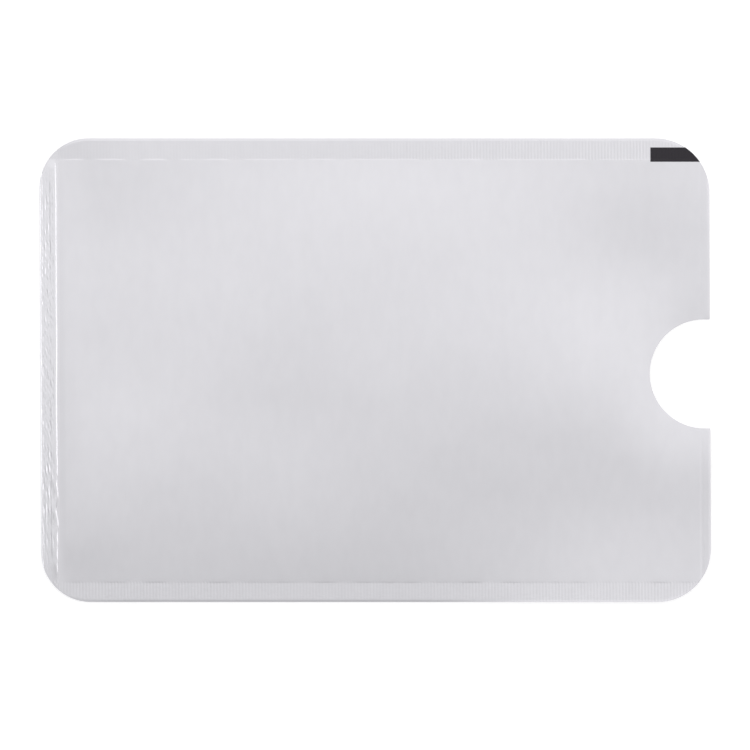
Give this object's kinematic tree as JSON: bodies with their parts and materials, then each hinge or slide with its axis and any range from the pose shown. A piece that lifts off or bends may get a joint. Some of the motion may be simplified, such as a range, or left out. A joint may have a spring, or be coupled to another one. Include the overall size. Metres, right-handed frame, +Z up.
{
  "type": "card sleeve",
  "caption": "Flat foil-laminate card sleeve, heat-sealed round its edges and open at a short end with a round thumb notch; it shields a contactless card from being read.",
  "frame": {"origin": "middle of the back panel's outer face, on the surface that the sleeve lies on", "axes": "+X along the sleeve towards its open mouth, +Y across it towards the edge by the printed mark, +Z up out of the front panel"},
  "size_m": [0.091, 0.063, 0.0011],
  "materials": {
    "print_film": "satin silver film",
    "shield_foil": "bright rolled foil",
    "sealant_film": "smooth clear film over foil",
    "seal_weld": "melted and set",
    "mark_ink": "black printing ink"
  },
  "bodies": {
    "root": {"front_print_film": "print_film", "front_shield_foil": "shield_foil", "front_sealant_film": "sealant_film", "back_print_film": "print_film", "back_shield_foil": "shield_foil", "back_sealant_film": "sealant_film", "top_seal": "seal_weld", "bottom_seal": "seal_weld", "end_seal": "seal_weld", "eye_mark": "mark_ink"}
  },
  "joints": []
}
